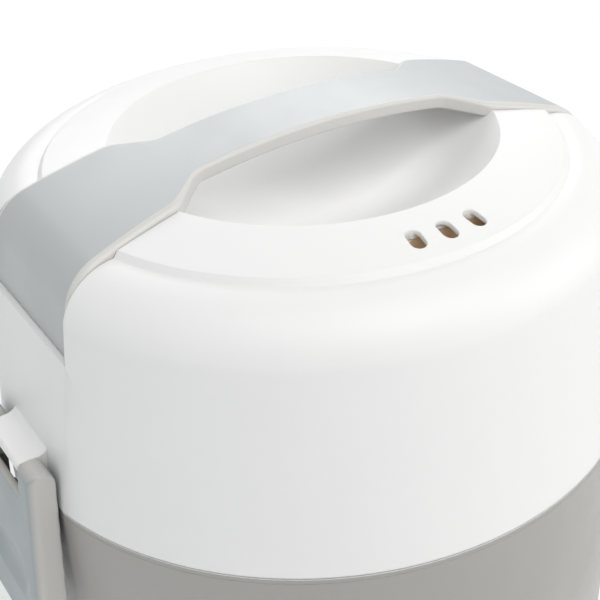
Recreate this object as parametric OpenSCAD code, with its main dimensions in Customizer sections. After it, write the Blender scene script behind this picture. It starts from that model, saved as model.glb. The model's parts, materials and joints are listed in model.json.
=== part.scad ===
// Electric lunch box: a heated base, two stacked bowls and a domed lid held by two side latches.
// Millimetres. The origin is the centre of the face it stands on, +Z is up.
// The handle lies along X, the steam vents and the button face -Y, the power inlet faces +Y.

/* [Body] */
// Radius of the body and the lid where they meet
body_r = 85; // [84:0.5:90]
// Height of the lid's lower edge above the table
seam_z = 135; // [132:1:150]
// Thickness of the moulded outer walls
wall = 2.5; // [2:0.1:3]
// How much smaller the body's radius is at the table than at the seam
body_taper = 2.5; // [1:0.5:4]
// Radius of the rounded bottom edge
bottom_round = 8; // [5:1:10]
// Height of the bottom cover's underside above the table
ground_gap = 3; // [2.5:0.5:5]
// Half the width of the flat sides at the seam
flat_half_w = 19.2; // [18.8:0.1:21]
// Visible gap between the lid and the rim of the body
seam_gap = 0.5; // [0.3:0.1:1]
// Radius of the opening in the bottom that the cover closes
bottom_open_r = 66; // [62:1:68]

/* [Inner tub] */
// Inner radius of the tub
tub_r = 73.5; // [73:0.1:74.4]
// Wall thickness of the tub
tub_wall = 1.5; // [1.2:0.1:1.8]
// Height of the tub's floor above the table
tub_floor_z = 36; // [35:0.5:38]
// Height of the ledge that the lower bowl stands on
ledge_z = 44; // [43:0.5:48]
// Inner radius of that ledge
ledge_r = 66; // [60:0.5:67]
// Thickness of the tub's top flange
flange_t = 1.2; // [1:0.1:2]

/* [Heater] */
// Radius of the heating pan's dish
pan_r = 49; // [40:1:52]
// Depth of the heating pan below its rim
pan_depth = 5; // [4:0.5:6]
// Sheet thickness of the pan
pan_t = 0.8; // [0.6:0.1:1.2]
// Radius of the heating plate
heater_r = 26; // [20:1:27]
// Thickness of the heating plate
heater_t = 3.5; // [2.5:0.5:4]

/* [Bowls] */
// Outer radius of the two bowls
bowl_r = 70; // [68:0.5:71]
// Sheet thickness of the bowls
bowl_t = 0.9; // [0.8:0.1:1.2]
// How far a bowl's rolled rim stands out
bowl_rim = 1.3; // [1:0.1:1.6]
// Height of the lower bowl
lower_bowl_h = 61; // [50:1:64]
// Height of the upper bowl above the lower bowl's rim
upper_bowl_h = 61; // [50:1:64]
// How deep the upper bowl's foot sits in the lower bowl
bowl_nest = 3; // [2:0.5:5]
// Gap between pieces that rest on each other and lift apart
rest_gap = 0.3; // [0.2:0.1:0.5]

/* [Lid] */
// Draft angle of the lid's side wall, in degrees
lid_draft = 5; // [3:0.5:6]
// Height above the seam at which the shoulder starts to round
lid_wall_h = 51.5; // [50:0.1:55]
// Radius of the lid's shoulder
shoulder_r = 14; // [12:0.1:15]
// Height of the step round the top
step_h = 1.6; // [1:0.1:2.5]
// Radius at which the raised top ends
plateau_r = 65.2; // [64.5:0.1:65.5]
// Rise of the domed top from its edge to its middle, if it had no hollow
dome_rise = 8.2; // [7:0.1:9]
// Radius of the finger hollow's rim
scoop_r = 49.3; // [46:0.1:50]
// Depth of the finger hollow below its rim
scoop_depth = 20; // [18:0.5:21]
// How much the flat sides lean in for each millimetre of height
flat_lean = 0.113; // [0.1:0.001:0.12]
// Number of steam vents
vent_count = 3; // [2:1:4]
// Distance of the vents from the middle
vent_r = 58.7; // [57:0.1:60]
// Spacing of the vents
vent_pitch = 8.1; // [7:0.1:9]
// Length of a vent
vent_len = 6.2; // [5:0.1:7]
// Width of a vent
vent_w = 3.8; // [3:0.1:4.5]
// Thickness of the lid round the vents
vent_wall = 1.3; // [1:0.1:1.6]

/* [Lid liner] */
// Outer radius of the liner
liner_r = 74.6; // [74.3:0.1:75]
// Wall thickness of the liner
liner_t = 1.2; // [1:0.1:1.2]
// Height of the liner's top above the seam
liner_h = 38.8; // [38:0.1:39]
// Height of the liner's flange above the seam
liner_flange_z = 1.6; // [1.4:0.1:2]

/* [Handle] */
// Height of the handle's middle above the seam
handle_h = 76.2; // [75.5:0.1:78]
// Thickness of the handle
handle_t = 3.6; // [3:0.1:4]
// Radius of the handle's arch
arch_r = 205; // [190:1:215]
// Radius of the bend at the handle's ends
bend_r = 12.5; // [11:0.5:13]
// Half the width of the grip
grip_half_w = 10.7; // [10:0.1:12]
// Half the width of the top face where the grip has widened
shoulder_half_w = 17.6; // [17:0.1:18]
// Half the width of the top face at the handle's ends
end_half_w = 21.1; // [20:0.1:21.2]
// How far the rounded edge reaches out past the top face
edge_out = 1.8; // [1:0.1:2]
// How far the rounded edge drops below the top face
edge_fall = 1.3; // [0.8:0.1:1.6]
// Distance from the middle at which the grip starts to widen
grip_end = 36; // [35:0.1:38]
// Distance from the middle at which the handle reaches its shoulder width
flare_end = 44.9; // [44:0.1:46]
// Height above the seam at which the handle's ends stop
pad_top = 42.8; // [42:0.1:43.5]
// How far the handle's ends lie behind the flat sides
leg_recess = 1.4; // [1:0.1:1.8]
// Gap between the handle and the channel it lies in
handle_gap = 0.3; // [0.2:0.1:0.4]
// Distance of the handle's screws from the middle
screw_x = 57; // [56:0.5:58]
// Distance of the handle's screws from the handle's centre line
screw_y = 10; // [8:0.5:12]

/* [Latches] */
// How far the latch's pin lies outside the flat side at the seam
pin_out = 3.6; // [3.4:0.1:4]
// Height of the latch's pin above the seam
pin_h = 8.9; // [8.5:0.1:11]
// Radius of the pin
pin_r = 1.1; // [1:0.05:1.2]
// Radial clearance of the latch on its pin
pin_play = 0.06; // [0.03:0.01:0.1]
// Radius of the lid's ledge round the pin
knuckle_r = 2.5; // [2.3:0.1:2.6]
// Radius of the latch's ears
ear_r = 3.4; // [3.3:0.1:3.6]
// Half the width of the latch
latch_half_w = 18.5; // [17:0.1:19.5]
// Half the width of the lid's ledge
knuckle_half_w = 10.2; // [9:0.1:11]
// Side gap between the latch's ears and the ledge
ear_gap = 0.4; // [0.3:0.05:0.6]
// Drop from the pin to the upper edge of the latch's face
plate_drop = 6.6; // [5:0.1:8]
// Length of the latch from its pin to its lower edge
latch_len = 52; // [48:0.5:54]
// Thickness of the latch's face
plate_t = 2.2; // [2:0.1:2.4]
// Thickness of the latch's side walls
side_t = 3.2; // [3:0.1:4]
// Radius of the latch's rounded side edges
edge_r = 2.6; // [2:0.1:2.8]
// How far the latch's lower end leans out
latch_flare = 4; // [3:0.1:4.5]
// Distance of the thumb hollow below the pin
thumb_drop = 33; // [30:0.5:34]
// Depth of the thumb hollow
thumb_depth = 1.1; // [0.8:0.1:1.2]
// Depth below the seam of the catch's lower face
catch_drop = 12; // [11:0.5:13]
// Height of the catch
catch_h = 4; // [3:0.5:4.5]
// How far the catch stands out from the body
catch_out = 2; // [1.5:0.1:2.2]
// Half the width of the catch
catch_half_w = 9; // [7:0.5:11]
// Opening angle of the latch, in degrees
latch_open = 100; // [80:5:100]

/* [Controls] */
// Height of the button's centre
button_z = 24; // [23:0.5:25]
// Radius of the button's cap
button_r = 7.7; // [7:0.1:8]
// Travel of the button
button_travel = 1.5; // [1:0.1:2]
// Radial gap round the button's cap
button_gap = 0.3; // [0.2:0.05:0.4]
// Distance of the pilot light from the button
light_x = 18; // [17:0.5:20]
// Radius of the pilot light
light_r = 2.2; // [1.8:0.1:2.5]
// Width of the power inlet's cavity
inlet_w = 24.4; // [24:0.1:25]
// Height of the power inlet's cavity
inlet_h = 16.6; // [16:0.1:17]
// Depth of the power inlet's cavity
inlet_depth = 17; // [16:0.5:18]
// Height of the power inlet's centre
inlet_z = 22.5; // [22:0.5:23]

/* [Feet] */
// Radius of a rubber foot
foot_r = 7; // [6:0.5:8]
// Distance of the feet from the middle
foot_ring = 56; // [54:0.5:57]
// Distance of the base screws from the middle
base_screw_ring = 60.5; // [60:0.5:61]

/* [Hidden] */
$fn = 96;
eps = 0.01;

function line_x(p, dir, h) = p[0] + dir[0] * (h - p[1]) / dir[1];

// Body and tub
rim_z = seam_z - seam_gap;
body_top = rim_z - flange_t;
function body_at(z) = body_r - body_taper * (seam_z - z) / seam_z;
flat_x = sqrt(body_r * body_r - flat_half_w * flat_half_w);
function body_flat_at(z) = flat_x - body_taper * (seam_z - z) / seam_z;
cover_t = 2.5;
shelf_z = ground_gap + cover_t;
shelf_t = 2.5;
shelf_in = bottom_open_r - 10;
fit_gap = 0.2;
front_flat_y = body_at(button_z) - 1.3;
back_flat_y = body_at(inlet_z) - 2.4;

function screw_angle(k) = 15 + 90 * k + (k % 2) * 60;
board_y = -bottom_open_r + 4.6;
board_t = 1.6;
board_post_x = 26;
switch_t = 3.5;
button_face_out = 2.6;

// Heater stack, from the tub's floor down
tub_floor_t = 1.6;
pan_seat = tub_floor_z + tub_floor_t;
seal_t = 0.8;
pan_flange_z = pan_seat + seal_t;
pan_flange = 4;
pan_under = pan_flange_z + pan_t - pan_depth - pan_t;
heater_z = pan_under - heater_t;
bracket_t = 1.5;
bracket_w = 14;
bracket_screw_x = pan_r + 8;
bracket_z = heater_z - bracket_t;

// Lid profile, heights measured from the seam
tan_draft = tan(lid_draft);
function lid_wall_at(h) = body_r - h * tan_draft;
shoulder_c = [lid_wall_at(lid_wall_h) - shoulder_r * cos(lid_draft), lid_wall_h - shoulder_r * sin(lid_draft)];
shoulder_top = shoulder_c[1] + shoulder_r;
plateau_h = shoulder_top + step_h;
dome_r = (plateau_r * plateau_r + dome_rise * dome_rise) / (2 * dome_rise);
dome_c = plateau_h + dome_rise - dome_r;
function dome_at(r) = dome_c + sqrt(dome_r * dome_r - r * r);
scoop_rim_h = dome_at(scoop_r);
scoop_ball = (scoop_r * scoop_r + scoop_depth * scoop_depth) / (2 * scoop_depth);
scoop_c = scoop_rim_h - scoop_depth + scoop_ball;
function flat_at(h) = flat_x - flat_lean * h;
step_run = 1.2;

// Handle's side outline: an arch, a bend and a leaning leg
leg_angle = atan(flat_lean);
leg_dir = [-sin(leg_angle), cos(leg_angle)];
leg_out = [cos(leg_angle), sin(leg_angle)];
leg_foot = [flat_at(pad_top) - leg_recess, pad_top];
arch_c = [0, handle_h - arch_r];
leg_in = leg_foot - bend_r * leg_out;
leg_rel = leg_in - arch_c;
leg_proj = leg_rel * leg_dir;
bend_up = -leg_proj + sqrt(leg_proj * leg_proj - leg_rel * leg_rel + pow(arch_r - bend_r, 2));
bend_c = leg_in + bend_up * leg_dir;
bend_dir = (bend_c - arch_c) / norm(bend_c - arch_c);
bend_angle = atan2(bend_dir[1], bend_dir[0]);
handle_low = 20;
edge_steps = 3;
screw_seat = 52;
boss_r = 3.2;

// Latches
pin_x = flat_x + pin_out;
plate_in = ear_r - plate_t + 0.6;
tooth_t = 2.6;
latch_low = pin_h - latch_len;
face_top = [pin_x + ear_r, pin_h];
face_low = [pin_x + ear_r + latch_flare, latch_low + 2];
face_dir = (face_low - face_top) / norm(face_low - face_top);
edge_break = 0.06;
thumb_r = 20;
thumb_reach = 6;
thumb_at = face_top + thumb_drop * face_dir + (thumb_r - thumb_depth) * [-face_dir[1], face_dir[0]];

module on_seam() {
    translate([0, 0, seam_z]) children();
}

// Extrudes an outline drawn in X and Z along Y, centred on the XZ plane
module along_y(width) {
    rotate([90, 0, 0]) linear_extrude(height = width, center = true) children();
}

// A flat-sided slab whose two leaning faces cut the flats; grow moves the faces out
module flats(x_low, z_low, x_high, z_high, grow) {
    along_y(2.4 * body_r)
        polygon([
            [-x_low - grow, z_low], [x_low + grow, z_low],
            [x_high + grow, z_high], [-x_high - grow, z_high]
        ]);
}

// ---------- body ----------

module body_outline(grow) {
    r_low = body_at(ground_gap + bottom_round) + grow;
    round_r = bottom_round + grow;
    polygon([
        [0, ground_gap - grow],
        [r_low - round_r, ground_gap - grow],
        [r_low - round_r, ground_gap + bottom_round],
        [r_low, ground_gap + bottom_round],
        [body_at(body_top) + grow, body_top],
        [0, body_top]
    ]);
    translate([r_low - round_r, ground_gap + bottom_round]) circle(r = round_r);
}

module body_solid(grow) {
    intersection() {
        rotate_extrude() intersection() {
            body_outline(grow);
            translate([0, ground_gap - grow]) square([1.2 * body_r, seam_z]);
        }
        flats(body_flat_at(0), 0, body_flat_at(seam_z), seam_z, grow);
    }
}

module catch_bump() {
    catch_root = body_flat_at(seam_z - catch_drop) - wall / 2;
    catch_face = body_flat_at(seam_z - catch_drop) + catch_out;
    translate([0, 0, seam_z - catch_drop])
        along_y(2 * catch_half_w)
            polygon([
                [catch_root, 0], [catch_face - 0.4, 0], [catch_face, 0.5],
                [catch_face, 0.4 * catch_h], [catch_root, catch_h + 1.5]
            ]);
}

module body_shell() {
    color("#9f9d99") difference() {
        union() {
            difference() {
                body_solid(0);
                difference() {
                    body_solid(-wall);
                    translate([0, 0, ground_gap]) cylinder(h = shelf_z - ground_gap + shelf_t, r = body_r);
                }
                translate([0, 0, body_top - 8]) cylinder(h = 9, r = tub_r + tub_wall + fit_gap);
                translate([0, 0, -1]) cylinder(h = shelf_z + 1, r = bottom_open_r);
                translate([0, 0, shelf_z - 1]) cylinder(h = 2 * shelf_t, r = shelf_in);
            }
            for (side = [0, 1]) mirror([side, 0, 0]) catch_bump();
            for (side = [-1, 1]) translate([side * board_post_x - 3, board_y - 3, shelf_z])
                cube([6, board_t + 6, 18]);
            for (k = [0:3]) rotate(screw_angle(k))
                translate([base_screw_ring, 0, shelf_z]) cylinder(h = 11, r = 4);
        }
        for (k = [0:3]) rotate(screw_angle(k))
            translate([base_screw_ring, 0, shelf_z - 1]) cylinder(h = 11, r = 1.6);
        translate([-40, board_y - fit_gap, shelf_z + shelf_t]) cube([80, board_t + 2 * fit_gap, 30]);
        translate([0, -front_flat_y, button_z]) rotate([90, 0, 0]) cylinder(h = 9, r = button_r + 3.6);
        translate([0, -front_flat_y + 9, button_z]) rotate([90, 0, 0]) cylinder(h = 20, r = button_r + 1.6);
        translate([light_x, -body_r + 12, button_z]) rotate([90, 0, 0]) cylinder(h = 20, r = light_r + fit_gap / 2);
        translate([-inlet_w / 2 - 4.2, back_flat_y, inlet_z - inlet_h / 2 - 3.2])
            cube([inlet_w + 8.4, 10, inlet_h + 6.4]);
        translate([-inlet_w / 2 - 1.9, back_flat_y - 12, inlet_z - inlet_h / 2 - 1.9])
            cube([inlet_w + 3.8, 20, inlet_h + 3.8]);
    }
}

module inner_tub() {
    low_r = ledge_r + tub_wall;
    color("#e9e9e6") difference() {
        union() {
            intersection() {
                translate([0, 0, body_top]) cylinder(h = flange_t, r = body_at(rim_z));
                flats(body_flat_at(0), 0, body_flat_at(seam_z), seam_z, 0);
            }
            translate([0, 0, ledge_z - tub_wall]) cylinder(h = rim_z - ledge_z + tub_wall, r = tub_r + tub_wall);
            translate([0, 0, tub_floor_z]) cylinder(h = ledge_z - tub_floor_z, r = low_r);
            for (side = [-1, 1]) translate([side * bracket_screw_x, 0, heater_z])
                cylinder(h = tub_floor_z - heater_z + 0.5, r = 4);
        }
        translate([0, 0, ledge_z]) cylinder(h = seam_z, r = tub_r);
        translate([0, 0, pan_seat]) cylinder(h = seam_z, r = ledge_r);
        translate([0, 0, tub_floor_z - 1]) cylinder(h = 5, r = pan_r + 1);
        for (side = [-1, 1]) translate([side * bracket_screw_x, 0, heater_z - 1]) cylinder(h = 6, r = 1.4);
        for (k = [0:5]) rotate(60 * k)
            translate([ledge_r - 1, -5, ledge_z - 1.2]) cube([tub_r - ledge_r - 1, 10, 3]);
    }
}

module bottom_cover() {
    color("#8f8d89") difference() {
        translate([0, 0, ground_gap]) cylinder(h = cover_t, r = bottom_open_r - fit_gap);
        for (k = [0:3]) rotate(screw_angle(k)) translate([base_screw_ring, 0, ground_gap - 1]) {
            cylinder(h = 5, r = 1.8);
            cylinder(h = 2.3, r = 3.3);
        }
        for (k = [0:3]) rotate(45 + 90 * k) translate([foot_ring, 0, ground_gap - 1]) cylinder(h = 5, r = 2.6);
        for (k = [-4:4]) translate([5.2 * k - 1, -26, ground_gap - 1]) cube([2, 52, 5]);
    }
}

module foot(k) {
    color("#3a3a3a") rotate(45 + 90 * k) translate([foot_ring, 0, 0]) {
        cylinder(h = ground_gap, r = foot_r);
        cylinder(h = ground_gap + cover_t, r = 2.5);
    }
}

module base_screw(k) {
    color("silver") rotate(screw_angle(k)) translate([base_screw_ring, 0, 0]) {
        translate([0, 0, ground_gap]) cylinder(h = 1.3, r = 3.1);
        translate([0, 0, ground_gap]) cylinder(h = 11, r = 1.5);
    }
}

// ---------- heater ----------

module heating_pan() {
    color("#c9ccce") rotate_extrude() difference() {
        union() {
            translate([0, pan_flange_z]) square([pan_r + pan_flange, pan_t]);
            translate([0, pan_under]) square([pan_r - 3, pan_t + 2]);
            translate([0, pan_under + 3]) square([pan_r, pan_flange_z - pan_under - 3]);
            translate([pan_r - 3, pan_under + 3]) circle(r = 3);
        }
        translate([0, pan_under + pan_t]) square([pan_r - 3, 20]);
        translate([0, pan_under + 3]) square([pan_r - pan_t, 20]);
        translate([pan_r - 3, pan_under + 3]) circle(r = 3 - pan_t);
    }
}

module pan_seal() {
    color("#b9b4ab") translate([0, 0, pan_seat]) difference() {
        cylinder(h = seal_t, r = pan_r + pan_flange);
        translate([0, 0, -1]) cylinder(h = 3, r = pan_r + 1);
    }
}

module heating_plate() {
    color("#a8abad") translate([0, 0, heater_z]) difference() {
        cylinder(h = heater_t, r = heater_r);
        translate([0, 0, -1]) cylinder(h = heater_t + 2, r = 9);
    }
}

module heater_bracket() {
    color("#8d9092") difference() {
        translate([-bracket_screw_x - 5, -bracket_w / 2, bracket_z]) cube([2 * bracket_screw_x + 10, bracket_w, bracket_t]);
        for (side = [-1, 1]) translate([side * bracket_screw_x, 0, bracket_z - 1]) cylinder(h = 5, r = 1.6);
        translate([0, 0, bracket_z - 1]) cylinder(h = 5, r = 4);
    }
}

module bracket_screw(side) {
    color("silver") translate([side * bracket_screw_x, 0, bracket_z]) {
        translate([0, 0, -1.8]) cylinder(h = 1.8, r = 2.8);
        translate([0, 0, -1]) cylinder(h = 6, r = 1.35);
    }
}

module thermostat() {
    thermostat_y = heater_r + 11;
    color("#d8d2c4") translate([0, thermostat_y, pan_under]) {
        translate([0, 0, -1]) cylinder(h = 1, r = 9);
        translate([0, 0, -6.5]) cylinder(h = 6, r = 8);
        for (side = [-1, 1]) translate([side * 4 - 3.1, -0.4, -11]) cube([6.2, 0.8, 5]);
    }
}

module thermal_fuse() {
    color("#e8e4da") translate([0, -heater_r - 10, pan_under - 2.3]) rotate([0, 90, 0])
        cylinder(h = 22, r = 2.3, center = true);
}

// ---------- controls ----------

module control_board() {
    color("#2f7d4f") {
        translate([-32, board_y, shelf_z + shelf_t]) cube([64, board_t, 25]);
        translate([-6, board_y - switch_t, button_z - 6]) cube([12, switch_t, 12]);
        translate([light_x - 2.5, board_y - 3, button_z - 2.5]) cube([5, 3, 5]);
        translate([-21.5, board_y - 9, button_z - 6]) cube([13, 9, 11]);
    }
}

module power_inlet() {
    face_y = back_flat_y + 2;
    outer_w = inlet_w + 3.4;
    outer_h = inlet_h + 3.4;
    color("#2b2b2d") translate([0, 0, inlet_z]) {
        difference() {
            union() {
                translate([-inlet_w / 2 - 4, back_flat_y, -inlet_h / 2 - 3]) cube([inlet_w + 8, 2, inlet_h + 6]);
                translate([-outer_w / 2, face_y - inlet_depth - 2, -outer_h / 2]) cube([outer_w, inlet_depth + 1, outer_h]);
            }
            translate([0, face_y - inlet_depth, 0]) rotate([-90, 0, 0])
                linear_extrude(height = inlet_depth + 1)
                    polygon([
                        [-inlet_w / 2, inlet_h / 2], [inlet_w / 2, inlet_h / 2],
                        [inlet_w / 2, 5 - inlet_h / 2], [inlet_w / 2 - 5, -inlet_h / 2],
                        [5 - inlet_w / 2, -inlet_h / 2], [-inlet_w / 2, 5 - inlet_h / 2]
                    ]);
        }
        for (pin = [[-7, -1.8], [0, 2.2], [7, -1.8]])
            translate([pin[0] - 1, face_y - inlet_depth - 0.5, -pin[1] - 2]) cube([2, 14, 4]);
    }
}

module button_bezel() {
    color("#dcdcd9") translate([0, 0, button_z]) rotate([90, 0, 0]) difference() {
        union() {
            translate([0, 0, front_flat_y]) cylinder(h = 2, r = button_r + 3.4);
            translate([0, 0, front_flat_y - 5]) cylinder(h = 6, r = button_r + 1.5);
        }
        translate([0, 0, front_flat_y - 6]) cylinder(h = 10, r = button_r + button_gap);
    }
}

module power_button() {
    cap_face = front_flat_y + button_face_out;
    switch_y = -board_y + switch_t;
    color("#f2f2f0") translate([0, 0, button_z]) rotate([90, 0, 0]) difference() {
        union() {
            translate([0, 0, front_flat_y - 4]) cylinder(h = cap_face - front_flat_y + 4, r = button_r);
            translate([0, 0, switch_y + button_travel + 0.1]) cylinder(h = cap_face - switch_y - button_travel - 1, r = 2.5);
        }
        translate([0, 0, cap_face + 30]) sphere(r = 30.5);
    }
}

module pilot_light() {
    light_face = sqrt(pow(body_at(button_z), 2) - light_x * light_x);
    color("#e08a3c") translate([light_x, 0, button_z]) rotate([90, 0, 0])
        translate([0, 0, 3 - board_y]) cylinder(h = light_face + board_y - 3, r = light_r);
}

// ---------- bowls ----------

module bowl_outline(z_foot, z_step, z_rim, foot_r, grow) {
    corner = 5;
    r_foot = foot_r + grow;
    translate([0, z_foot - grow]) square([r_foot - corner - grow, z_rim - z_foot]);
    translate([0, z_foot + corner]) square([r_foot, z_rim - z_foot - corner]);
    translate([foot_r - corner, z_foot + corner]) circle(r = corner + grow);
    translate([0, z_step]) square([bowl_r + grow, z_rim - z_step]);
}

module bowl(z_foot, z_step, z_rim, foot_r) {
    rotate_extrude() {
        difference() {
            bowl_outline(z_foot, z_step, z_rim, foot_r, 0);
            bowl_outline(z_foot, z_step + bowl_t, z_rim + 1, foot_r, -bowl_t);
        }
        translate([bowl_r - bowl_t, z_rim - 1.4]) square([bowl_t + bowl_rim, 1.4]);
    }
}

module lower_bowl() {
    z_foot = ledge_z + rest_gap;
    color("#cfd2d4") bowl(z_foot, z_foot + 9, z_foot + lower_bowl_h, bowl_r);
}

module upper_bowl() {
    z_step = ledge_z + 2 * rest_gap + lower_bowl_h;
    color("#cfd2d4") bowl(z_step - bowl_nest, z_step, z_step + upper_bowl_h, bowl_r - bowl_t - 0.6);
}

// ---------- lid ----------

// The lid's outer form as an outline from the axis out, grown or shrunk evenly and cut off at low
module lid_outline(grow, low) {
    n = [cos(lid_draft), sin(lid_draft)];
    wall_end = shoulder_c + (shoulder_r + grow) * n;
    top = shoulder_c[1] + shoulder_r + grow;
    polygon([
        [0, low], [body_r + grow / cos(lid_draft) - low * tan_draft, low], wall_end, shoulder_c,
        [shoulder_c[0], top], [0, top]
    ]);
    translate(shoulder_c) circle(r = shoulder_r + grow);
    polygon([
        [0, shoulder_c[1]], [plateau_r + step_run + grow, shoulder_c[1]],
        [plateau_r + step_run + grow, shoulder_top + grow], [plateau_r + grow, plateau_h + grow], [0, plateau_h + grow]
    ]);
    intersection() {
        translate([0, dome_c]) circle(r = dome_r + grow, $fn = 360);
        translate([0, shoulder_c[1]]) square([plateau_r + grow, 60]);
    }
}

module lid_solid(grow, low = 0) {
    intersection() {
        rotate_extrude() lid_outline(grow, low);
        flats(flat_at(low), low, flat_at(90), 90, grow);
    }
}

// Points on an arc about c, the first one left out
function arc(c, r, from, to, steps) =
    [for (k = [1:steps]) c + r * [cos(from + (to - from) * k / steps), sin(from + (to - from) * k / steps)]];

// The handle's curve from the middle of its arch down to the foot of one leg, moved in by depth
function half_curve(depth) = concat(
    arc(arch_c, arch_r - depth, 90, bend_angle, 16),
    arc(bend_c, bend_r - depth, bend_angle, leg_angle, 12),
    [leg_bottom(depth)]
);
function leg_bottom(depth) =
    [line_x(bend_c + (bend_r - depth) * leg_out, leg_dir, handle_low), handle_low];
function reversed(v) = [for (k = [len(v) - 1:-1:0]) v[k]];
function mirrored(v) = [for (p = v) [-p[0], p[1]]];

// The whole curve, from the foot of one leg to the foot of the other
function handle_curve(depth) = concat(
    reversed(mirrored(half_curve(depth))),
    [[0, arch_c[1] + arch_r - depth]],
    half_curve(depth)
);

// Plan of the handle, widened all round by grow, and past the grip by edge as well
function plan_corner(grow, edge) = [
    [grip_end, grip_half_w + grow],
    [flare_end + edge / 2, shoulder_half_w + grow + edge],
    [leg_foot[0] + 3, end_half_w + grow + edge]
];
function flipped(v) = [for (p = v) [p[0], -p[1]]];
module handle_plan(grow, edge) {
    corner = plan_corner(grow, edge);
    polygon(concat(corner, reversed(flipped(corner)), mirrored(flipped(corner)), reversed(mirrored(corner))));
}

// Everything outside the handle's underside, over the handle's own width
module handle_channel(gap, low) {
    difference() {
        translate([0, 0, pad_top - gap]) linear_extrude(height = 60) handle_plan(gap, edge_out);
        along_y(120) polygon(handle_curve(handle_t + gap));
    }
}

module latch_ledge() {
    along_y(2 * knuckle_half_w) {
        translate([pin_x, pin_h]) circle(r = knuckle_r);
        polygon([
            [flat_at(pin_h) - wall / 2, pin_h + knuckle_r + 2.2],
            [flat_at(pin_h + knuckle_r) + 0.5, pin_h + knuckle_r + 0.7],
            [flat_at(pin_h + knuckle_r) + 2, pin_h + knuckle_r],
            [pin_x + 2.2, pin_h + knuckle_r], [pin_x + 2.8, pin_h + knuckle_r - 0.5], [pin_x + 2.8, pin_h + 0.5],
            [pin_x, pin_h - knuckle_r], [flat_at(pin_h) - wall / 2, pin_h - knuckle_r - 2.5]
        ]);
    }
}

module liner_post(grow) {
    intersection() {
        for (k = [0:3]) rotate(45 + 90 * k)
            translate([liner_r + 0.6, -4, liner_flange_z + liner_t]) cube([body_r, 8, 16]);
        lid_solid(-wall / 2);
    }
}

module lid_shell() {
    color("#f4f4f2") on_seam() difference() {
        union() {
            difference() {
                lid_solid(0);
                translate([0, 0, scoop_c]) sphere(r = scoop_ball, $fn = 180);
                difference() {
                    lid_solid(-wall, -1);
                    translate([0, 0, scoop_c]) sphere(r = scoop_ball + wall, $fn = 180);
                    handle_channel(handle_gap + wall);
                    for (sx = [-1, 1], sy = [-1, 1]) translate([sx * screw_x, sy * screw_y, screw_seat])
                        cylinder(h = 20, r = 6);
                }
                handle_channel(handle_gap);
            }
            for (side = [0, 1]) mirror([side, 0, 0]) latch_ledge();
            liner_post();
        }
        for (side = [0, 1]) mirror([side, 0, 0]) translate([pin_x, 0, pin_h]) rotate([90, 0, 0])
            cylinder(h = 3 * knuckle_half_w, r = pin_r + pin_play, center = true);
        for (k = [0:vent_count - 1]) rotate(-90 + (k - (vent_count - 1) / 2) * 57.2958 * vent_pitch / vent_r)
            translate([vent_r, 0, shoulder_c[1]]) linear_extrude(height = 60) vent_slot();
        intersection() {
            translate([-13, -vent_r - 3.3, shoulder_c[1]]) cube([26, 6.6, 30]);
            lid_solid(-vent_wall);
        }
        for (k = [0:3]) rotate(45 + 90 * k) translate([liner_r + 4, 0, 0]) cylinder(h = 12, r = 1.3);
        for (sx = [-1, 1], sy = [-1, 1]) translate([sx * screw_x, sy * screw_y, screw_seat - 1])
            cylinder(h = 20, r = boss_r + fit_gap);
    }
}

module vent_slot() {
    for (side = [-1, 1]) translate([side * (vent_len - vent_w) / 2, 0]) circle(r = vent_w / 2);
    square([vent_len - vent_w, vent_w], center = true);
}

module lid_liner() {
    color("#ecece8") on_seam() difference() {
        union() {
            cylinder(h = liner_h, r = liner_r);
            translate([0, 0, -5]) cylinder(h = 6, r = tub_r - 0.5);
            intersection() {
                translate([0, 0, liner_flange_z]) cylinder(h = liner_t, r = body_r);
                lid_solid(-wall - fit_gap);
            }
        }
        translate([0, 0, -6]) cylinder(h = 8, r = tub_r - 0.5 - liner_t);
        translate([0, 0, liner_flange_z + liner_t]) cylinder(h = liner_h - liner_flange_z - 2 * liner_t, r = liner_r - liner_t);
        translate([0, 0, liner_flange_z]) cylinder(h = liner_t + 0.1, r1 = tub_r - 0.5 - liner_t, r2 = liner_r - liner_t);
        translate([0, -vent_r + 2, liner_h - 5]) linear_extrude(height = 10) square([16, 4], center = true);
        for (k = [0:3]) rotate(45 + 90 * k) translate([liner_r + 4, 0, 0]) cylinder(h = 12, r = 1.6);
    }
}

module liner_screw(k) {
    color("silver") on_seam() rotate(45 + 90 * k) translate([liner_r + 4, 0, liner_flange_z]) {
        translate([0, 0, -1.3]) cylinder(h = 1.3, r = 2.6);
        cylinder(h = 8, r = 1.25);
    }
}

module lid_seal() {
    color("#dfe3e4") on_seam() translate([0, 0, -seam_gap + rest_gap]) difference() {
        cylinder(h = liner_flange_z + seam_gap - rest_gap, r = liner_r + 1.3);
        translate([0, 0, -1]) cylinder(h = 9, r = liner_r + 0.02);
    }
}

module vent_duct() {
    color("#a58a68") on_seam() difference() {
        intersection() {
            translate([-15, -vent_r - 5, liner_h]) cube([30, 10, 40]);
            lid_solid(-wall - 0.15);
        }
        translate([-13.5, -vent_r - 3.5, liner_h - 1]) cube([27, 7, 15]);
        translate([-13.5, -vent_r - 3.5, shoulder_c[1] + 11]) cube([27, 7, 40]);
        translate([0, -vent_r, liner_h]) cube([10, 2, 60], center = true);
        translate([0, 0, scoop_c]) sphere(r = scoop_ball + wall + 0.15, $fn = 180);
    }
}

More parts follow.
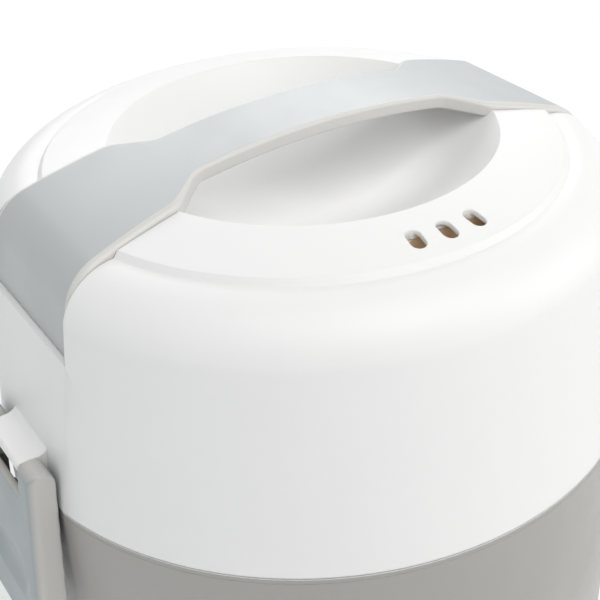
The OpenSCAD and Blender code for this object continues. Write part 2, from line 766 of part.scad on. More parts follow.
module handle() {
    color("#c9cccb") on_seam() difference() {
        union() {
            for (k = [0:edge_steps]) intersection() {
                along_y(120) polygon(concat(
                    handle_curve(edge_fall * (1 - cos(90 * k / edge_steps))),
                    reversed(handle_curve(handle_t - 0.3 * (edge_steps - k)))
                ));
                translate([0, 0, pad_top]) linear_extrude(height = 60)
                    handle_plan(0, edge_out * sin(90 * k / edge_steps));
            }
            for (sx = [-1, 1], sy = [-1, 1]) intersection() {
                translate([sx * screw_x, sy * screw_y, screw_seat + 0.3]) cylinder(h = 30, r = boss_r);
                along_y(120) polygon(handle_curve(handle_t / 2));
            }
        }
        for (sx = [-1, 1], sy = [-1, 1]) translate([sx * screw_x, sy * screw_y, screw_seat - 1])
            cylinder(h = 12, r = 1.3);
    }
}

module handle_screw(sx, sy) {
    color("silver") on_seam() translate([sx * screw_x, sy * screw_y, screw_seat]) {
        translate([0, 0, -2]) cylinder(h = 2, r = 5);
        translate([0, 0, -1]) cylinder(h = 11, r = 1.25);
    }
}

// ---------- latches ----------

// Side outline of the latch for +X, in X and height above the seam
module latch_side() {
    translate([pin_x, pin_h]) circle(r = ear_r);
    polygon([
        [pin_x - ear_r, pin_h], face_top, face_low, face_low + [-1, -2],
        [pin_x + latch_flare - 0.4, latch_low], [pin_x - 1, latch_low + 12], [pin_x - ear_r + 1.1, -8]
    ]);
}

// The part of that outline that the face fills across the whole width
module latch_face() {
    x_in = pin_x + plate_in;
    intersection() {
        latch_side();
        polygon([
            [x_in, pin_h - plate_drop], [x_in + 10, pin_h - plate_drop], [x_in + 10, latch_low - 1],
            [x_in + latch_flare - 0.2, latch_low - 1]
        ]);
    }
}

// What is cut off the face's two side edges to round them; the rounding meets each side at a slight angle
module edge_cut() {
    bite = edge_r - edge_break;
    translate([face_top[0], 0, face_top[1]]) rotate([0, -asin(face_dir[0]), 0])
        for (side = [0, 1]) mirror([0, side, 0])
            translate([0, 0, -1.5 * latch_len]) linear_extrude(height = 2 * latch_len) difference() {
                translate([-bite, latch_half_w - bite]) square([edge_r + 6, edge_r + 1]);
                translate([-bite, latch_half_w - bite]) circle(r = edge_r);
            }
}

module latch() {
    tooth_z = -catch_drop - rest_gap - tooth_t;
    tooth_in = body_flat_at(seam_z) + 0.5;
    ear_in = knuckle_half_w + ear_gap;
    difference() {
        union() {
            along_y(2 * latch_half_w) latch_face();
            for (side = [-1, 1]) translate([0, side * (latch_half_w - side_t / 2), 0]) along_y(side_t) latch_side();
            for (side = [-1, 1]) translate([0, side * (latch_half_w + ear_in) / 2, 0])
                along_y(latch_half_w - ear_in) intersection() {
                    latch_side();
                    translate([pin_x - 2 * ear_r, pin_h - plate_drop - 3]) square([40, 40]);
                }
            translate([0, 0, tooth_z]) along_y(2 * (latch_half_w - side_t))
                polygon([
                    [tooth_in, tooth_t], [pin_x + plate_in + 0.6, tooth_t],
                    [pin_x + plate_in + 0.6, -1.5], [tooth_in, 1]
                ]);
        }
        translate([pin_x, 0, pin_h]) rotate([90, 0, 0])
            cylinder(h = 2 * latch_half_w - 2, r = pin_r + pin_play, center = true);
        edge_cut();
        for (side = [-1, 1]) translate([thumb_at[0], side * thumb_reach, thumb_at[1]]) sphere(r = thumb_r);
        translate([thumb_at[0], 0, thumb_at[1]]) rotate([90, 0, 0]) cylinder(h = 2 * thumb_reach, r = thumb_r, center = true);
    }
}

module latch_left() {
    color("#c3c8c9") on_seam() mirror([1, 0, 0]) latch();
}

module latch_right() {
    color("#c3c8c9") on_seam() latch();
}

module latch_pin(side) {
    color("silver") on_seam() translate([side * pin_x, 0, pin_h]) rotate([90, 0, 0])
        cylinder(h = 2 * latch_half_w - 3, r = pin_r, center = true);
}

body_shell();
inner_tub();
bottom_cover();
foot(0);  // foot_1
foot(1);  // foot_2
foot(2);  // foot_3
foot(3);  // foot_4
base_screw(0);  // base_screw_1
base_screw(1);  // base_screw_2
base_screw(2);  // base_screw_3
base_screw(3);  // base_screw_4
heating_pan();
pan_seal();
heating_plate();
heater_bracket();
bracket_screw(-1);  // bracket_screw_1
bracket_screw(1);  // bracket_screw_2
thermostat();
thermal_fuse();
control_board();
power_inlet();
button_bezel();
power_button();
pilot_light();
lower_bowl();
upper_bowl();
lid_shell();
lid_liner();
lid_seal();
vent_duct();
liner_screw(0);  // liner_screw_1
liner_screw(1);  // liner_screw_2
liner_screw(2);  // liner_screw_3
liner_screw(3);  // liner_screw_4
handle();
handle_screw(-1, -1);  // handle_screw_1
handle_screw(1, -1);  // handle_screw_2
handle_screw(-1, 1);  // handle_screw_3
handle_screw(1, 1);  // handle_screw_4
latch_left();
latch_right();
latch_pin(-1);  // latch_pin_left
latch_pin(1);  // latch_pin_right
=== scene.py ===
import json
import math
import bpy
import bmesh
from mathutils import Vector, Matrix

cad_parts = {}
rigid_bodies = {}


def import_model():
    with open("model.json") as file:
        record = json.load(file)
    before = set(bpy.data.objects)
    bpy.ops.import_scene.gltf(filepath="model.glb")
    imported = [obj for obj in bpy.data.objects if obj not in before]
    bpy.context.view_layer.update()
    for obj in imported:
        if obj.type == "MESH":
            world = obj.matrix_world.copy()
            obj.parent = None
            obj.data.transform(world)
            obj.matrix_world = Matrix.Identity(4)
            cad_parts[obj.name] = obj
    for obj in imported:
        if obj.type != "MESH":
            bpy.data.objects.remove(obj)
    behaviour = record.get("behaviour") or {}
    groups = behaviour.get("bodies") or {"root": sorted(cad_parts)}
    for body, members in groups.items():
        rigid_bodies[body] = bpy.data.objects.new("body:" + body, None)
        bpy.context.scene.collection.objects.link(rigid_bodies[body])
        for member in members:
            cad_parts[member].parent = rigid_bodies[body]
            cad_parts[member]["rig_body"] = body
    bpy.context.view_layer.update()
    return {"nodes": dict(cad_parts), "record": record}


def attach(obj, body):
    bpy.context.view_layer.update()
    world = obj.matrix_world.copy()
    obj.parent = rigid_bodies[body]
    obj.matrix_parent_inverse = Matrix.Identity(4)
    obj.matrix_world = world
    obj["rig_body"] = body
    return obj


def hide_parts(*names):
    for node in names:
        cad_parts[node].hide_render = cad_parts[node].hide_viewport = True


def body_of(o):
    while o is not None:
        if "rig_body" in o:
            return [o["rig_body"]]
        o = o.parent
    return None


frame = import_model()

MM = 0.001

# ---------- millimetres, the same values as in the part's source ----------
# The height of the seam between body and lid, from which the handle's and the lid's heights
# are measured, and the body's radius there.
SEAM_Z = 135.0
BODY_R = 85.0
# Half the width of the flats at the handle's ends, and how far they lean in per unit of height.
FLAT_HALF_W = 19.2
FLAT_LEAN = 0.113
# The handle: its top, its thickness, its arch and the bends above its legs.
HANDLE_H = 76.2
HANDLE_T = 3.6
ARCH_R = 205.0
BEND_R = 12.5
# Half the width of its top face in the grip, beside the grip and at the end.
GRIP_HALF_W = 10.7
SHOULDER_HALF_W = 17.6
END_HALF_W = 21.1
# The grip widens between these two distances from the middle.
GRIP_END = 36.0
FLARE_END = 44.9
# How far the sloped edge stands out and falls where the handle is wide.
EDGE_OUT = 1.8
EDGE_FALL = 1.3
# The foot of the legs, and how deep they lie behind the flats.
PAD_TOP = 42.8
LEG_RECESS = 1.4
# The handle's four screws: their places, and the height of the seats that their bosses stand over.
SCREW_X = 57.0
SCREW_Y = 10.0
SCREW_SEAT = 52.0
BOSS_R = 3.2
BOSS_GAP = 0.3
# The row of steam vents is this far in front of the middle.
VENT_R = 58.7

# ---------- millimetres, shapes that only this scene has ----------
# The rounds along the grip's top edge and along the handle's under edge.
GRIP_ROUND = 0.9
UNDER_ROUND = 0.5
# The handle's outline is averaged over this length either way, which rounds its corners.
WIDTH_BLEND = 1.2
# From the shoulders the outline widens towards a point beyond the legs, this far from the middle
# and this much wider than the handle's ends.
WIDEST_X = 82.0
WIDEST_EXTRA = 0.3
# The bores of the latches: their radius, and what they reach past each end of the pin.
BORE_R = 1.22
BORE_PLAY = 0.3
# The size of the cells that the latches are remade from.
LATCH_CELL = 0.4
# Points closer than this are one point.
WELD = 0.002

# ---------- millimetres, faces of the CAD that get a second material ----------
# The tub's rim: how far in and down from the body's top edge it counts.
RIM_W = 4.5
RIM_H = 4.0
# A box round the row of vents, and the height above which their walls are the lid's.
VENTS_HALF_W = 13.0
VENT_HALF_LEN = 4.0
VENT_FLOOR = 55.0
# A face is upright where its normal rises or falls less than this share of its length.
UPRIGHT_BELOW = 0.7

# ---------- numbers of faces and passes ----------
ARCH_STEPS = 44
BEND_STEPS = 16
LEG_STEPS = 8
EDGE_FACES = 7
BOSS_SIDES = 32
BEVEL_SEGMENTS = 2
LATCH_PASSES = 12

# ---------- degrees ----------
SAME_PLANE = 1.0
SHARP_EDGE = 32.0
SHARP_HANDLE_EDGE = 50.0

# ---------- surface patterns, in cells per metre ----------
MOTTLE = 22.0
STAINS = 30.0
SMEARS = 55.0
PATCHES = 140.0
FINE_GRAIN = 900.0

# ---------- the studio, in metres ----------
FLOOR_HALF_SIZE = 6.0
FLOOR_DROP = 0.0002
# Seen directly, the floor turns from its own colour to white between these distances.
WHITE_STARTS = 0.25
WHITE_FULL = 0.75
LAMPS_AIM = (0.0, 0.0, 0.15)
AMBIENT = 0.58


# ---------- camera ----------
def camera_pose():
    """The camera's right, up and back directions and its place, left of the front and close by.

    The aim and the distance are in body radii, from the middle of the seam."""
    azimuth, elevation, roll = math.radians(-32.62), math.radians(29.98), math.radians(-1.89)
    aside, above, distance = 0.084, 0.438, 3.943
    back = Vector((math.sin(azimuth) * math.cos(elevation),
                   -math.cos(azimuth) * math.cos(elevation),
                   math.sin(elevation)))
    level_right = Vector((math.cos(azimuth), math.sin(azimuth), 0.0))
    level_up = back.cross(level_right)
    right = level_right * math.cos(roll) + level_up * math.sin(roll)
    up = level_up * math.cos(roll) - level_right * math.sin(roll)
    seam_middle = Vector((0.0, 0.0, SEAM_Z * MM))
    target = seam_middle + (aside * level_right + Vector((0.0, 0.0, above))) * BODY_R * MM
    return right, up, back, target + back * distance * BODY_R * MM


def make_camera():
    focal_px, shift_right_px, shift_up_px, frame_px = 1269.2, -35.1, -60.6, 600.0
    right, up, back, place = camera_pose()
    data = bpy.data.cameras.new("camera")
    camera = bpy.data.objects.new("camera", data)
    bpy.context.scene.collection.objects.link(camera)
    turn = Matrix((right, up, back)).transposed().to_4x4()
    camera.matrix_world = Matrix.Translation(place) @ turn
    data.sensor_width = 36.0
    data.sensor_fit = "HORIZONTAL"
    data.lens = data.sensor_width * focal_px / frame_px
    data.shift_x = shift_right_px / frame_px
    data.shift_y = shift_up_px / frame_px
    data.clip_start = 0.01
    data.clip_end = 20.0
    bpy.context.scene.camera = camera


# ---------- shader building blocks ----------
def clear_nodes(name):
    mat = bpy.data.materials.new(name)
    mat.use_nodes = True
    mat.node_tree.nodes.clear()
    return mat, mat.node_tree


def node(nt, kind, **settings):
    made = nt.nodes.new(kind)
    for name, value in settings.items():
        setattr(made, name, value)
    return made


def feed(nt, target, source):
    """Links a socket to an input, or sets the input to a plain value."""
    if isinstance(source, bpy.types.NodeSocket):
        nt.links.new(source, target)
    else:
        target.default_value = source


def noise(nt, where, scale, detail=3.0, roughness=0.5):
    made = node(nt, "ShaderNodeTexNoise")
    feed(nt, made.inputs["Vector"], where)
    made.inputs["Scale"].default_value = scale
    made.inputs["Detail"].default_value = detail
    made.inputs["Roughness"].default_value = roughness
    return made.outputs["Fac"]


def span(nt, value, low, high, start=0.3, end=0.7):
    """Maps start..end to low..high."""
    made = node(nt, "ShaderNodeMapRange")
    feed(nt, made.inputs["Value"], value)
    made.inputs["From Min"].default_value = start
    made.inputs["From Max"].default_value = end
    made.inputs["To Min"].default_value = low
    made.inputs["To Max"].default_value = high
    return made.outputs["Result"]


def combine(nt, operation, a, b):
    made = node(nt, "ShaderNodeMath", operation=operation)
    feed(nt, made.inputs[0], a)
    feed(nt, made.inputs[1], b)
    return made.outputs[0]


def mix_colour(nt, factor, a, b, blend="MIX"):
    made = node(nt, "ShaderNodeMix", data_type="RGBA", blend_type=blend)
    # The node has a set of sockets for each kind of data, and these are the colour's.
    factor_at, a_at, b_at, result_at = 0, 6, 7, 2
    feed(nt, made.inputs[factor_at], factor)
    feed(nt, made.inputs[a_at], a)
    feed(nt, made.inputs[b_at], b)
    return made.outputs[result_at]


def mix_shader(nt, factor, a, b):
    made = node(nt, "ShaderNodeMixShader")
    feed(nt, made.inputs["Fac"], factor)
    nt.links.new(a, made.inputs[1])
    nt.links.new(b, made.inputs[2])
    return made.outputs["Shader"]


def rgba(colour, gain=1.0):
    return (*(min(c * gain, 1.0) for c in colour), 1.0)


def own_axes(nt, output):
    """The place ("Object") or the direction ("Normal") of the surface, in the piece's own axes."""
    return node(nt, "ShaderNodeTexCoord").outputs[output]


def edge_mask(nt, radius):
    """The rounded normal near edges, and a mask that is 1 on the edges themselves."""
    rounded = node(nt, "ShaderNodeBevel", samples=6)
    rounded.inputs["Radius"].default_value = radius
    surface = node(nt, "ShaderNodeNewGeometry")
    dot = node(nt, "ShaderNodeVectorMath", operation="DOT_PRODUCT")
    nt.links.new(rounded.outputs["Normal"], dot.inputs[0])
    nt.links.new(surface.outputs["Normal"], dot.inputs[1])
    mask = span(nt, dot.outputs["Value"], 1.0, 0.0, start=0.82, end=0.99)
    return rounded.outputs["Normal"], mask


def lit_side_mask(nt):
    """0 on faces along X, rising to 1 on faces to the sides and on top, in the piece's own axes:
    where a paler colour is painted on as light.
    """
    axes = node(nt, "ShaderNodeSeparateXYZ")
    nt.links.new(own_axes(nt, "Normal"), axes.inputs[0])
    sideways = combine(nt, "ABSOLUTE", axes.outputs["Y"], 0.0)
    aside = span(nt, sideways, 0.0, 1.0, start=0.15, end=0.9)
    on_top = span(nt, axes.outputs["Z"], 0.0, 1.0, start=0.3, end=0.9)
    return combine(nt, "MAXIMUM", aside, on_top)


def bumped(nt, height, depth, strength, normal):
    """The given normal, disturbed by a pattern that is depth deep."""
    made = node(nt, "ShaderNodeBump")
    made.inputs["Strength"].default_value = strength
    made.inputs["Distance"].default_value = depth
    feed(nt, made.inputs["Height"], height)
    nt.links.new(normal, made.inputs["Normal"])
    return made.outputs["Normal"]


# ---------- materials ----------
def plastic(name, colour, rough, vary=0.03, grain=0.02, grain_scale=FINE_GRAIN, bump=0.2,
            edge_wear_and_highlight=0.5, scuff=0.06, edge=0.5, coat=0.0, gloss=0.5, side=None):
    """Moulded plastic: faint mottling, fine grain, patches of gloss, and edges worn smooth and pale
    in patches, a paleness that is also a painted highlight along them.

    grain is the grain's depth and edge the width of the rounded, paler edges, both in millimetres.
    side is a paler colour painted on the piece's sides and top as painted light, while faces along
    X keep the darker colour as painted shade."""
    mat, nt = clear_nodes(name)
    out = node(nt, "ShaderNodeOutputMaterial")
    bsdf = node(nt, "ShaderNodeBsdfPrincipled")
    where = own_axes(nt, "Object")
    rounded, edges = edge_mask(nt, edge * MM)

    # Edges paler in patches: worn edges, and also a painted highlight, such as the light lip along
    # the body's rim.
    patchy = noise(nt, where, PATCHES, detail=5.0, roughness=0.7)
    worn_and_highlit_edges = combine(nt, "MULTIPLY", edges, span(nt, patchy, 0.0, edge_wear_and_highlight, start=0.35, end=0.62))
    mottled = noise(nt, where, MOTTLE, detail=4.0, roughness=0.55)
    mottle = span(nt, mottled, 1.0 - vary, 1.0 + 0.3 * vary)
    # Painted light and shade: sides and top get the paler side colour, faces along X the darker
    # one.
    tone = mix_colour(nt, lit_side_mask(nt), rgba(colour), rgba(side)) if side else rgba(colour)
    base = mix_colour(nt, 1.0, tone, mottle, "MULTIPLY")
    nt.links.new(mix_colour(nt, worn_and_highlit_edges, base, rgba(colour, 1.22)), bsdf.inputs["Base Color"])

    smears = noise(nt, where, SMEARS, detail=6.0, roughness=0.65)
    smoothest, roughest = max(rough - scuff, 0.03), min(rough + scuff, 1.0)
    dull = span(nt, smears, smoothest, roughest, start=0.35)
    polished = combine(nt, "SUBTRACT", dull, combine(nt, "MULTIPLY", worn_and_highlit_edges, 0.1))
    nt.links.new(polished, bsdf.inputs["Roughness"])

    fine = noise(nt, where, grain_scale, detail=2.0)
    nt.links.new(bumped(nt, fine, grain * MM, bump, rounded), bsdf.inputs["Normal"])
    bsdf.inputs["Specular IOR Level"].default_value = gloss
    bsdf.inputs["Coat Weight"].default_value = coat
    bsdf.inputs["Coat Roughness"].default_value = 0.25
    nt.links.new(bsdf.outputs["BSDF"], out.inputs["Surface"])
    return mat


def metal(name, colour, rough, lines=(0.02, 0.02, 1.0), scale=1400.0, bump=0.12):
    """Sheet or cast metal with fine turned lines, faint stains and bright edges.

    lines squeezes the pattern along X, Y and Z, so small numbers draw it out that way."""
    line_depth, edge_width = 0.02 * MM, 0.3 * MM
    mat, nt = clear_nodes(name)
    out = node(nt, "ShaderNodeOutputMaterial")
    bsdf = node(nt, "ShaderNodeBsdfPrincipled")
    where = own_axes(nt, "Object")
    stretched = node(nt, "ShaderNodeMapping")
    stretched.inputs["Scale"].default_value = lines
    nt.links.new(where, stretched.inputs["Vector"])
    turned = noise(nt, stretched.outputs["Vector"], scale)
    rounded, edges = edge_mask(nt, edge_width)

    shade = span(nt, turned, 0.88, 1.04, start=0.2, end=0.8)
    base = mix_colour(nt, 1.0, rgba(colour), shade, "MULTIPLY")
    nt.links.new(mix_colour(nt, edges, base, rgba(colour, 1.25)), bsdf.inputs["Base Color"])

    stain = noise(nt, where, STAINS, detail=5.0, roughness=0.6)
    uneven = span(nt, stain, 0.8 * rough, 1.35 * rough, end=0.75)
    lined = combine(nt, "MULTIPLY", uneven, span(nt, turned, 0.85, 1.15))
    nt.links.new(lined, bsdf.inputs["Roughness"])

    nt.links.new(bumped(nt, turned, line_depth, bump, rounded), bsdf.inputs["Normal"])
    bsdf.inputs["Metallic"].default_value = 1.0
    nt.links.new(bsdf.outputs["BSDF"], out.inputs["Surface"])
    return mat


# One material for each material slot of the record.
MATERIALS = {
    "white_lid": plastic("white_satin_abs", (0.815, 0.813, 0.805), rough=0.40, vary=0.012,
                         grain=0.01, bump=0.1, edge_wear_and_highlight=0.25),
    "white_inner": plastic("white_satin_pp", (0.78, 0.78, 0.76), rough=0.42, vary=0.025),
    "grey_body": plastic("warm_grey_pp", (0.36, 0.352, 0.335), rough=0.40, vary=0.035,
                         grain=0.03, grain_scale=1400.0, bump=0.3, edge_wear_and_highlight=0.4),
    "grey_cover": plastic("grey_cover_pp", (0.29, 0.285, 0.27), rough=0.55, vary=0.05,
                          grain=0.05, grain_scale=1100.0, bump=0.5),
    "handle_plastic": plastic("handle_grey_abs", (0.415, 0.44, 0.444), rough=0.34, vary=0.02,
                              edge_wear_and_highlight=0.3, gloss=0.9),
    # The latch's outward faces are darker and its sides and top paler: painted shade and painted
    # light, by which way a face looks.
    "latch_plastic": plastic("latch_grey_abs", (0.30, 0.34, 0.35), rough=0.36, vary=0.02,
                             edge_wear_and_highlight=0.35, side=(0.50, 0.49, 0.465)),
    "foot_rubber": plastic("black_rubber", (0.035, 0.035, 0.037), rough=0.8, vary=0.2,
                           grain=0.06, grain_scale=700.0, bump=0.6),
    "seal_rubber": plastic("milky_silicone", (0.70, 0.72, 0.72), rough=0.45, vary=0.05),
    "steel": metal("zinc_steel", (0.62, 0.62, 0.63), rough=0.32),
    "stainless": metal("spun_stainless", (0.66, 0.665, 0.67), rough=0.24),
    "aluminium": metal("cast_aluminium", (0.55, 0.56, 0.57), rough=0.5, lines=(1.0, 1.0, 0.02),
                       scale=500.0, bump=0.4),
    "circuit_board": plastic("board_green", (0.03, 0.16, 0.07), rough=0.35, vary=0.1),
    "inlet_plastic": plastic("inlet_black", (0.02, 0.02, 0.022), rough=0.42, vary=0.15, bump=0.3),
    "button_plastic": plastic("button_white", (0.78, 0.78, 0.76), rough=0.28, vary=0.02),
    "light_lens": plastic("lens_amber", (0.75, 0.26, 0.05), rough=0.14, vary=0.05, coat=0.5),
    "duct_plastic": plastic("duct_tan", (0.80, 0.62, 0.43), rough=0.5, vary=0.08),
    "ceramic": plastic("resin_cream", (0.66, 0.60, 0.48), rough=0.5, vary=0.08),
}
# The handle's sides and under face: a paler grey than its top, a painted highlight for the light
# its rounded edges catch.
HANDLE_EDGE_HIGHLIGHT = plastic("handle_edge_painted_highlight", (0.62, 0.61, 0.585), rough=0.36, vary=0.02, edge_wear_and_highlight=0.2,
                    gloss=0.7)
# Painted light: the vent walls are painted nearly white so that they glow against the shade inside
# the vents.
VENT_WALL_PAINTED_LIGHT = plastic("vent_wall_painted_light", (0.95, 0.945, 0.93), rough=0.5, vary=0.02, edge_wear_and_highlight=0.1)
slot_of = {part["node"]: part["material_slot"] for part in frame["record"]["subparts"]}


def paint_nodes():
    for name, slot in slot_of.items():
        obj = frame["nodes"][name]
        if not obj.material_slots:
            obj.data.materials.append(MATERIALS[slot])
        for held in obj.material_slots:
            held.material = MATERIALS[slot]


# ---------- pieces ----------
def add_piece(name, bm, *nodes):
    """Makes a smooth shaded piece that stands for CAD nodes and rides with their body."""
    mesh = bpy.data.meshes.new(name)
    bm.to_mesh(mesh)
    bm.free()
    mesh.shade_smooth()
    piece = bpy.data.objects.new(name, mesh)
    bpy.context.scene.collection.objects.link(piece)
    mesh.materials.append(MATERIALS[slot_of[nodes[0]]])
    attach(piece, body_of(frame["nodes"][nodes[0]])[0])
    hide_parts(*nodes)
    return piece


def cad_copy(name):
    """The CAD node's mesh, with its facets joined at their points."""
    bm = bmesh.new()
    bm.from_mesh(frame["nodes"][name].data)
    bmesh.ops.remove_doubles(bm, verts=bm.verts, dist=WELD * MM)
    return bm


def even_normals(piece, keep_sharp=False):
    """Shades large faces flat and leaves the bend to the small faces between them."""
    shading = piece.modifiers.new("even normals", "WEIGHTED_NORMAL")
    shading.weight = 80
    shading.keep_sharp = keep_sharp


def softened(name, width, second=None, where=None):
    """A CAD node with rounded edges: facets of one plane are joined, then sharp edges are bevelled.

    Faces for which where(centre, normal) holds get the second material."""
    bm = cad_copy(name)
    bmesh.ops.dissolve_limit(bm, angle_limit=math.radians(SAME_PLANE), verts=bm.verts,
                             edges=bm.edges)
    for face in bm.faces:
        chosen = where and where(face.calc_center_median() / MM, face.normal)
        face.material_index = 1 if chosen else 0
    piece = add_piece(name + "_soft", bm, name)
    if second:
        piece.data.materials.append(second)
    rounding = piece.modifiers.new("rounded edges", "BEVEL")
    rounding.width = width * MM
    rounding.segments = BEVEL_SEGMENTS
    rounding.limit_method = "ANGLE"
    rounding.angle_limit = math.radians(SHARP_EDGE)
    even_normals(piece)


# ---------- latches ----------
def clear_bore(mesh, pin):
    """Moves the points that smoothing drew in over a pin back to the bore's walls.

    The pin lies along Y."""
    corners = [Vector(corner) for corner in frame["nodes"][pin].bound_box]
    centre = sum(corners, Vector()) / len(corners)
    radius = BORE_R * MM
    half = max(corner.y for corner in corners) - centre.y + BORE_PLAY * MM
    for vertex in mesh.vertices:
        off = vertex.co - centre
        aside = Vector((off.x, 0.0, off.z))
        outward, endward = radius - aside.length, half - abs(off.y)
        if min(outward, endward) <= 0:
            continue
        if endward < radius / 2:
            vertex.co.y += math.copysign(endward, off.y)
        if outward < radius / 2:
            vertex.co += aside.normalized() * outward


def rounded_off(name, pin):
    """A thick moulding with all edges well rounded: a CAD node made of small cells and smoothed."""
    piece = add_piece(name + "_round", cad_copy(name), name)
    cells = piece.modifiers.new("cells", "REMESH")
    cells.mode = "VOXEL"
    cells.voxel_size = LATCH_CELL * MM
    cells.use_smooth_shade = True
    smoothing = piece.modifiers.new("smoothing", "SMOOTH")
    smoothing.factor = 0.5
    smoothing.iterations = LATCH_PASSES
    made = piece.evaluated_get(bpy.context.evaluated_depsgraph_get())
    mesh = bpy.data.meshes.new_from_object(made)
    piece.modifiers.clear()
    clear_bore(mesh, pin)
    piece.data = mesh


def make_latches():
    for side in ("left", "right"):
        rounded_off("latch_" + side, "latch_pin_" + side)


# ---------- handle ----------
def arc_points(centre, radius, start, end, steps):
    """Points and outward directions along an arc in the XZ plane, angles in radians."""
    turns = [start + (end - start) * k / steps for k in range(steps + 1)]
    directions = [Vector((math.cos(turn), math.sin(turn))) for turn in turns]
    return [(centre + radius * direction, direction) for direction in directions]


def strap_stations():
    """Half of the handle's top line, from its middle to its foot, with the outward directions."""
    flat_x = math.sqrt(BODY_R ** 2 - FLAT_HALF_W ** 2)
    lean = math.atan(FLAT_LEAN)
    leg_up = Vector((-math.sin(lean), math.cos(lean)))
    leg_out = Vector((math.cos(lean), math.sin(lean)))
    foot = Vector((flat_x - FLAT_LEAN * PAD_TOP - LEG_RECESS, PAD_TOP))
    # The bend touches the leg's line and the arch: its centre is where both distances fit.
    arch_c = Vector((0.0, HANDLE_H - ARCH_R))
    inner = foot - BEND_R * leg_out
    across = inner - arch_c
    along = across.dot(leg_up)
    rise = -along + math.sqrt(along ** 2 - across.length_squared + (ARCH_R - BEND_R) ** 2)
    bend_c = inner + rise * leg_up
    bend_at = math.atan2(bend_c.y - arch_c.y, bend_c.x - arch_c.x)
    stations = arc_points(arch_c, ARCH_R, math.pi / 2, bend_at, ARCH_STEPS)
    stations += arc_points(bend_c, BEND_R, bend_at, lean, BEND_STEPS)[1:]
    knee = stations[-1][0]
    stations += [(knee.lerp(foot, k / LEG_STEPS), leg_out) for k in range(1, LEG_STEPS)]
    # The last direction is level and longer, so that the foot is cut level at full thickness.
    return stations + [(foot, Vector((1 / math.cos(lean), 0.0)))]


def straight_width(x):
    """Half the width at x of an outline with straight stretches."""
    corners = [(0.0, GRIP_HALF_W), (GRIP_END, GRIP_HALF_W), (FLARE_END, SHOULDER_HALF_W),
               (WIDEST_X, END_HALF_W + WIDEST_EXTRA)]
    for (x0, w0), (x1, w1) in zip(corners, corners[1:]):
        if abs(x) <= x1:
            return w0 + (w1 - w0) * (abs(x) - x0) / (x1 - x0)
    return corners[-1][1]


def strap_width(x):
    """Half the width of the top face, and how far its edge stands out and falls, at x."""
    nearby = [x + WIDTH_BLEND * k for k in (-1, -0.5, 0, 0.5, 1)]
    half = sum(straight_width(at) for at in nearby) / len(nearby)
    skirt = min(max((abs(x) - GRIP_END) / (FLARE_END - GRIP_END), 0.0), 1.0)
    out = GRIP_ROUND + (EDGE_OUT - GRIP_ROUND) * skirt
    fall = GRIP_ROUND + (EDGE_FALL - GRIP_ROUND) * skirt
    return half - GRIP_ROUND * (1 - skirt), out, fall


def strap_profile(half, out, fall):
    """The cross-section as (across, depth): a rounded top edge, a side and a small under round."""
    turns = [math.pi / 2 * k / EDGE_FACES for k in range(EDGE_FACES + 1)]
    side = [(half + out * math.sin(turn), fall * (1 - math.cos(turn))) for turn in turns]
    edge = half + out
    halfway = 0.3 * UNDER_ROUND
    side += [(edge, HANDLE_T - UNDER_ROUND), (edge - halfway, HANDLE_T - halfway),
             (edge - UNDER_ROUND, HANDLE_T)]
    return side + [(-across, depth) for across, depth in reversed(side)]


def add_strap(bm):
    """The strap's skin, with the first material on its top face and the second all round: a paler
    grey, a painted highlight along its edges and sides.
    """
    half = strap_stations()
    mirrored = [(Vector((-p.x, p.y)), Vector((-n.x, n.y))) for p, n in reversed(half[1:])]
    rings = []
    for point, outward in mirrored + half:
        ring = []
        for across, depth in strap_profile(*strap_width(point.x)):
            at = point - depth * outward
            ring.append(bm.verts.new(Vector((at.x, across, SEAM_Z + at.y)) * MM))
        rings.append(ring)
    count = len(rings[0])
    top_face = count - 1
    for a, b in zip(rings, rings[1:]):
        for k in range(count):
            after = (k + 1) % count
            face = bm.faces.new((a[k], a[after], b[after], b[k]))
            face.material_index = 0 if k == top_face else 1
    bm.faces.new(rings[0])
    bm.faces.new(reversed(rings[-1]))


def add_bosses(bm):
    """The four bosses that take the handle's screws from below."""
    arch_z = HANDLE_H - ARCH_R + math.sqrt(ARCH_R ** 2 - SCREW_X ** 2)
    low, top = SCREW_SEAT + BOSS_GAP, arch_z - HANDLE_T / 2
    for x in (-SCREW_X, SCREW_X):
        for y in (-SCREW_Y, SCREW_Y):
            middle = Vector((x, y, SEAM_Z + (low + top) / 2)) * MM
            bmesh.ops.create_cone(bm, cap_ends=True, segments=BOSS_SIDES, radius1=BOSS_R * MM,
                                  radius2=BOSS_R * MM, depth=(top - low) * MM,
                                  matrix=Matrix.Translation(middle))


def make_handle():
    bm = bmesh.new()
    add_strap(bm)
    add_bosses(bm)
    bmesh.ops.recalc_face_normals(bm, faces=bm.faces)
    piece = add_piece("handle_strap", bm, "handle")
    # The second material is the painted highlight on the strap's sides and under face.
    piece.data.materials.append(HANDLE_EDGE_HIGHLIGHT)
    piece.data.set_sharp_from_angle(angle=math.radians(SHARP_HANDLE_EDGE))
    even_normals(piece, keep_sharp=True)


# ---------- mouldings with soft edges ----------
def at_rim(centre, normal):
    """The tub's outer rim, which closes the body's top edge and has its colour."""
    return centre.xy.length > BODY_R - RIM_W and centre.z > SEAM_Z - RIM_H


def in_vent(centre, normal):
    """The short walls of the steam vents, painted paler: painted light for light that gets through
    the thin lid.
    """
    beside = abs(centre.x) < VENTS_HALF_W and abs(centre.y + VENT_R) < VENT_HALF_LEN
    return beside and centre.z > SEAM_Z + VENT_FLOOR and abs(normal.z) < UPRIGHT_BELOW


# The width of the round along each moulding's edges, in millimetres.
SOFT_EDGES = {
    "body_shell": 0.45,
    "bottom_cover": 0.4,
    "power_inlet": 0.35,
    "button_bezel": 0.4,
    "power_button": 0.5,
    "lid_liner": 0.3,
}


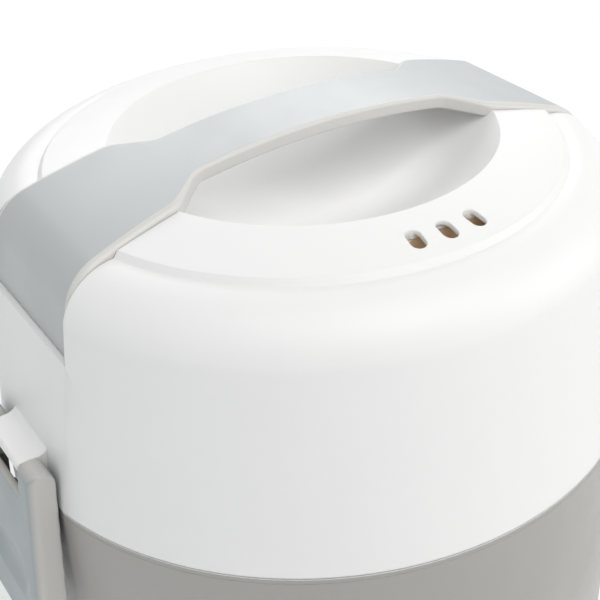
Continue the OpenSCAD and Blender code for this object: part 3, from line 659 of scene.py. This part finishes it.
def make_soft_edges():
    for name, width in SOFT_EDGES.items():
        softened(name, width)
    softened("lid_shell", 0.5, second=VENT_WALL_PAINTED_LIGHT, where=in_vent)
    softened("inner_tub", 0.3, second=MATERIALS["grey_body"], where=at_rim)


# ---------- floor, backdrop and light ----------
def seen_directly(nt):
    """1 for camera rays and for what gloss and glass show, 0 for light on its way elsewhere."""
    path = node(nt, "ShaderNodeLightPath")
    glossy, through = path.outputs["Is Glossy Ray"], path.outputs["Is Transmission Ray"]
    shown = combine(nt, "MAXIMUM", glossy, through)
    return combine(nt, "MAXIMUM", path.outputs["Is Camera Ray"], shown)


def floor_material():
    """Pale and matt, keeping the shadow near the object, and running out to white when seen."""
    lit, looked_at = (0.88, 0.88, 0.88), (1.0, 1.0, 1.0)
    mat, nt = clear_nodes("studio_floor")
    out = node(nt, "ShaderNodeOutputMaterial")
    seen = seen_directly(nt)
    diffuse = node(nt, "ShaderNodeBsdfDiffuse")
    nt.links.new(mix_colour(nt, seen, rgba(lit), rgba(looked_at)), diffuse.inputs["Color"])
    white = node(nt, "ShaderNodeEmission")
    distance = node(nt, "ShaderNodeVectorMath", operation="LENGTH")
    nt.links.new(own_axes(nt, "Object"), distance.inputs[0])
    far = span(nt, distance.outputs["Value"], 0.0, 1.0, start=WHITE_STARTS, end=WHITE_FULL)
    far_and_seen = combine(nt, "MULTIPLY", far, seen)
    mixed = mix_shader(nt, far_and_seen, diffuse.outputs["BSDF"], white.outputs["Emission"])
    nt.links.new(mixed, out.inputs["Surface"])
    return mat


def make_floor():
    bm = bmesh.new()
    bmesh.ops.create_grid(bm, x_segments=1, y_segments=1, size=FLOOR_HALF_SIZE)
    mesh = bpy.data.meshes.new("floor")
    bm.to_mesh(mesh)
    bm.free()
    mesh.materials.append(floor_material())
    floor = bpy.data.objects.new("floor", mesh)
    floor.location = (0, 0, -FLOOR_DROP)
    bpy.context.scene.collection.objects.link(floor)


def make_world():
    """White behind the object and in what it reflects, and a plain soft light from all round."""
    world = bpy.data.worlds.new("studio")
    bpy.context.scene.world = world
    world.use_nodes = True
    nt = world.node_tree
    nt.nodes.clear()
    out = node(nt, "ShaderNodeOutputWorld")
    light = node(nt, "ShaderNodeBackground")
    light.inputs["Color"].default_value = (0.96, 0.98, 1.0, 1)
    light.inputs["Strength"].default_value = AMBIENT
    white = node(nt, "ShaderNodeBackground")
    white.inputs["Color"].default_value = (1, 1, 1, 1)
    mixed = mix_shader(nt, seen_directly(nt), light.outputs["Background"],
                       white.outputs["Background"])
    nt.links.new(mixed, out.inputs["Surface"])


def softbox(name, place, size, watts, colour=(1, 1, 1)):
    """A rectangular lamp at a place in metres, turned to the object."""
    data = bpy.data.lights.new(name, "AREA")
    data.shape = "RECTANGLE"
    data.size, data.size_y = size
    data.energy = watts
    data.color = colour
    lamp = bpy.data.objects.new(name, data)
    lamp.location = place
    lamp.rotation_mode = "QUATERNION"
    lamp.rotation_quaternion = (Vector(LAMPS_AIM) - Vector(place)).to_track_quat("-Z", "Y")
    bpy.context.scene.collection.objects.link(lamp)


def make_lights():
    """A large box above the front, one on the right, a weak one on the left and one behind."""
    softbox("overhead", place=(0.0, -0.6, 1.12), size=(1.2, 1.2), watts=7.5,
            colour=(1.0, 0.988, 0.968))
    softbox("right", place=(1.05, -0.75, 0.45), size=(0.8, 0.9), watts=3.6,
            colour=(1.0, 0.995, 0.975))
    softbox("left", place=(-1.15, -0.3, 0.45), size=(0.8, 0.9), watts=0.3,
            colour=(0.93, 0.97, 1.0))
    softbox("behind", place=(0.5, 1.0, 0.75), size=(1.2, 0.5), watts=4.4)


make_camera()
paint_nodes()
make_handle()
make_soft_edges()
make_latches()
make_floor()
make_world()
make_lights()
bpy.context.scene.view_settings.view_transform = "Standard"
